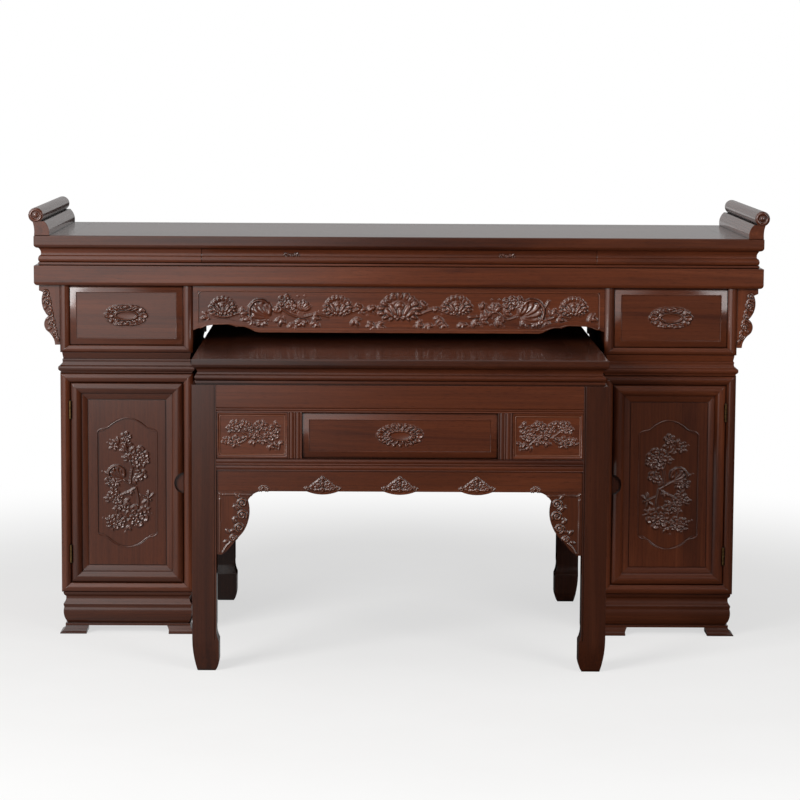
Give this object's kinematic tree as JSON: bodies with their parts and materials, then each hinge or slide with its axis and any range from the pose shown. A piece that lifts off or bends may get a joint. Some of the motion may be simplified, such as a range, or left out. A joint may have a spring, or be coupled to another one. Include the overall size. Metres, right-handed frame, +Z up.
{
  "type": "altar table",
  "caption": "Long high altar table with scroll ends on cupboard pedestals, and a square offering table with a drawer nested under its middle.",
  "frame": {"origin": "on the floor, in the middle of the set's footprint with the front table at its rest place", "axes": "+X to the right along the altar, +Y from the front to the back, +Z up"},
  "size_m": [1.987, 1.159, 1.1589],
  "materials": {
    "dark_lacquered_hardwood": "semi-gloss",
    "drawer_wood": "satin",
    "hinge_brass": "satin"
  },
  "bodies": {
    "altar": {"altar_top_frame": "dark_lacquered_hardwood", "altar_top_panel": "dark_lacquered_hardwood", "left_scroll_end": "dark_lacquered_hardwood", "right_scroll_end": "dark_lacquered_hardwood", "altar_waist": "dark_lacquered_hardwood", "altar_fascia": "dark_lacquered_hardwood", "long_drawer_runners": "drawer_wood", "frieze": "dark_lacquered_hardwood", "back_rail": "dark_lacquered_hardwood", "left_spandrels": "dark_lacquered_hardwood", "left_case_frame": "dark_lacquered_hardwood", "left_case_panels": "dark_lacquered_hardwood", "left_case_runners": "drawer_wood", "left_band": "dark_lacquered_hardwood", "left_cabinet_frame": "dark_lacquered_hardwood", "left_cabinet_panels": "dark_lacquered_hardwood", "left_shelf": "drawer_wood", "left_plinth": "dark_lacquered_hardwood", "left_feet": "dark_lacquered_hardwood", "left_stile_hinges": "hinge_brass", "right_spandrels": "dark_lacquered_hardwood", "right_case_frame": "dark_lacquered_hardwood", "right_case_panels": "dark_lacquered_hardwood", "right_case_runners": "drawer_wood", "right_band": "dark_lacquered_hardwood", "right_cabinet_frame": "dark_lacquered_hardwood", "right_cabinet_panels": "dark_lacquered_hardwood", "right_shelf": "drawer_wood", "right_plinth": "dark_lacquered_hardwood", "right_feet": "dark_lacquered_hardwood", "right_stile_hinges": "hinge_brass"},
    "front_table": {"table_top_frame": "dark_lacquered_hardwood", "table_top_panel": "dark_lacquered_hardwood", "table_waist": "dark_lacquered_hardwood", "table_legs": "dark_lacquered_hardwood", "table_rails": "dark_lacquered_hardwood", "table_front_panels": "dark_lacquered_hardwood", "table_side_panels": "dark_lacquered_hardwood", "table_aprons": "dark_lacquered_hardwood", "table_spandrels": "dark_lacquered_hardwood", "table_runners": "drawer_wood"},
    "table_drawer": {"table_drawer_front": "dark_lacquered_hardwood", "table_drawer_box": "drawer_wood", "table_drawer_pull": "dark_lacquered_hardwood"},
    "long_drawer": {"long_drawer_front": "dark_lacquered_hardwood", "long_drawer_box": "drawer_wood", "long_drawer_pulls": "dark_lacquered_hardwood"},
    "left_drawer": {"left_drawer_front": "dark_lacquered_hardwood", "left_drawer_box": "drawer_wood", "left_drawer_pull": "dark_lacquered_hardwood"},
    "right_drawer": {"right_drawer_front": "dark_lacquered_hardwood", "right_drawer_box": "drawer_wood", "right_drawer_pull": "dark_lacquered_hardwood"},
    "left_door": {"left_door_frame": "dark_lacquered_hardwood", "left_door_panel": "dark_lacquered_hardwood", "left_door_hinges": "hinge_brass"},
    "right_door": {"right_door_frame": "dark_lacquered_hardwood", "right_door_panel": "dark_lacquered_hardwood", "right_door_hinges": "hinge_brass"}
  },
  "joints": [
    {"name": "front_table_slide", "type": "slide", "parent": "altar", "child": "front_table", "axis": [0, -1, 0], "range_m": [-0.085, 0.6]},
    {"name": "table_drawer_slide", "type": "slide", "parent": "front_table", "child": "table_drawer", "axis": [0, -1, 0], "range_m": [0, 0.33]},
    {"name": "long_drawer_slide", "type": "slide", "parent": "altar", "child": "long_drawer", "axis": [0, -1, 0], "range_m": [0, 0.33]},
    {"name": "left_drawer_slide", "type": "slide", "parent": "altar", "child": "left_drawer", "axis": [0, -1, 0], "range_m": [0, 0.42]},
    {"name": "right_drawer_slide", "type": "slide", "parent": "altar", "child": "right_drawer", "axis": [0, -1, 0], "range_m": [0, 0.42]},
    {"name": "left_door_hinge", "type": "hinge", "parent": "altar", "child": "left_door", "pos_m": [-0.8865, -0.0835, 0.414], "axis": [0, 0, -1], "range_deg": [0, 105]},
    {"name": "right_door_hinge", "type": "hinge", "parent": "altar", "child": "right_door", "pos_m": [0.8865, -0.0835, 0.414], "axis": [0, 0, 1], "range_deg": [0, 105]}
  ]
}
